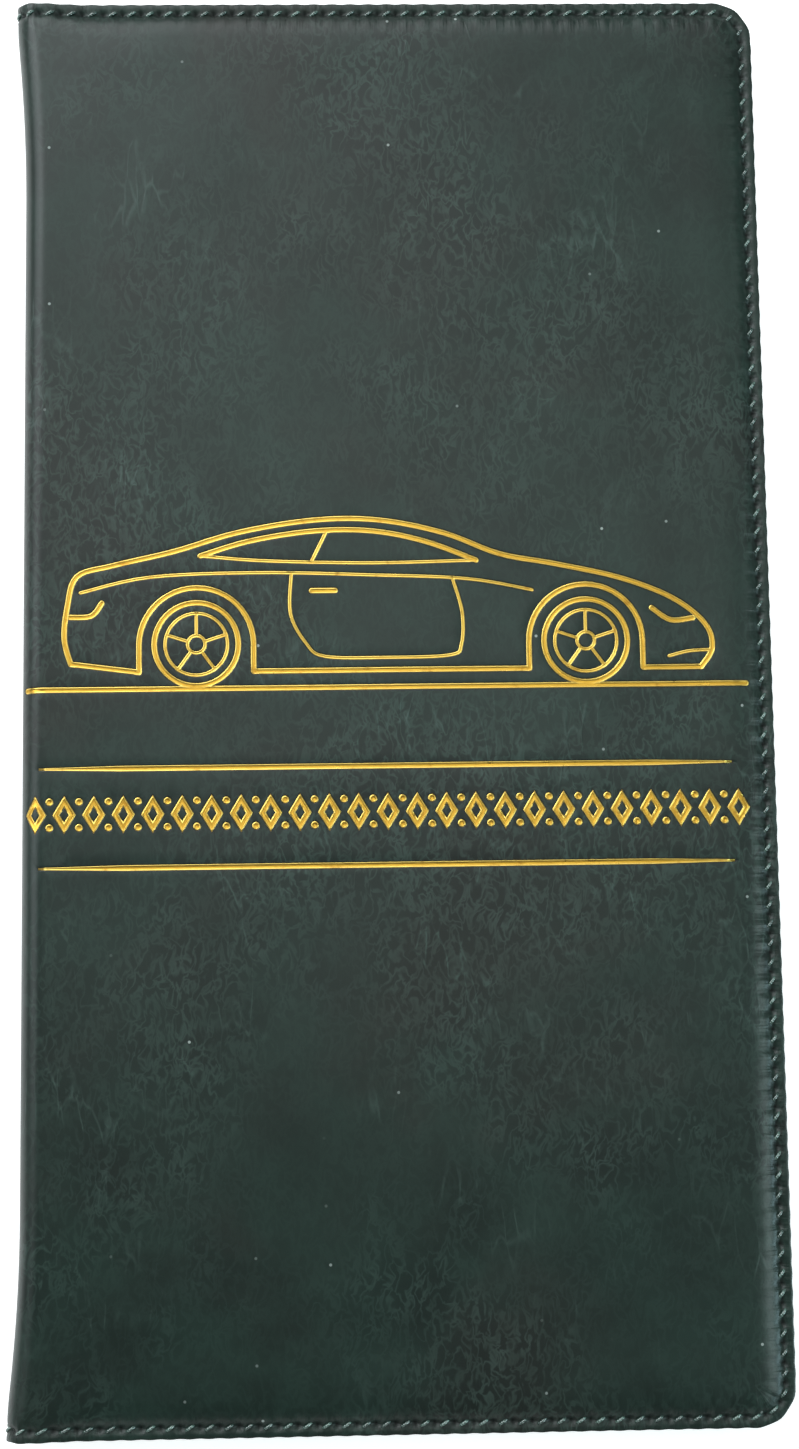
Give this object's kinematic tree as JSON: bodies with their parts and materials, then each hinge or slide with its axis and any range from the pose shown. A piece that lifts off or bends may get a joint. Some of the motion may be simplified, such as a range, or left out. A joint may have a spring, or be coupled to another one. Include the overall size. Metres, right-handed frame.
{
  "type": "vehicle document wallet",
  "caption": "Slim bifold wallet for vehicle papers, padded imitation-leather covers with stitched edges, stamped gold line art, card slots, a slip pocket and a clear window pocket.",
  "frame": {"origin": "centre of the closed wallet's footprint, on the flat outer face of the back cover", "axes": "+X from the spine to the fore edge, +Y from the tail to the head, +Z from the back cover up to the front cover; at rest the wallet is closed and lies on its back cover"},
  "size_m": [0.128, 0.245, 0.011],
  "materials": {
    "green_leather": "satin imitation leather, fine pebble grain",
    "green_pocket": "satin imitation leather",
    "lining_cloth": "matt woven lining",
    "foam": "open-cell foam sheet",
    "board": "grey-brown binder's board",
    "magnet": "nickel-plated disc",
    "thread": "dark green polyester thread",
    "gold_foil": "hot-stamped metallic foil",
    "clear_sheet": "clear flexible PVC"
  },
  "bodies": {
    "back_cover": {"back_skin": "green_leather", "back_foam": "foam", "back_board": "board", "back_lining": "lining_cloth", "back_magnets": "magnet", "back_stitching": "thread", "slip_pocket": "green_pocket", "slip_pocket_hem": "green_pocket", "slip_hem_stitching": "thread", "card_slot_upper": "green_pocket", "card_slot_middle": "green_pocket", "card_slot_lower": "green_pocket", "card_slot_hems": "green_pocket", "card_slot_stitching": "thread"},
    "spine": {"spine_skin": "green_leather", "spine_lining": "lining_cloth", "spine_stitching": "thread"},
    "front_cover": {"front_skin": "green_leather", "front_foam": "foam", "front_board": "board", "front_lining": "lining_cloth", "front_magnets": "magnet", "front_stitching": "thread", "foil_car": "gold_foil", "foil_rules": "gold_foil", "foil_border": "gold_foil", "window_sheet": "clear_sheet", "window_frame": "green_pocket", "window_hem": "green_pocket", "window_stitching": "thread", "window_hem_stitching": "thread"}
  },
  "joints": [
    {"name": "spine_fold", "type": "hinge", "parent": "back_cover", "child": "spine", "pos_m": [-0.06255, 0, 0.00145], "axis": [0, -1, 0], "range_deg": [0, 90]},
    {"name": "cover_fold", "type": "hinge", "parent": "spine", "child": "front_cover", "pos_m": [-0.06255, 0, 0.00955], "axis": [0, -1, 0], "range_deg": [0, 90]}
  ],
  "couplings": [
    {"joint": "cover_fold", "follows": "spine_fold", "ratio": 1}
  ]
}
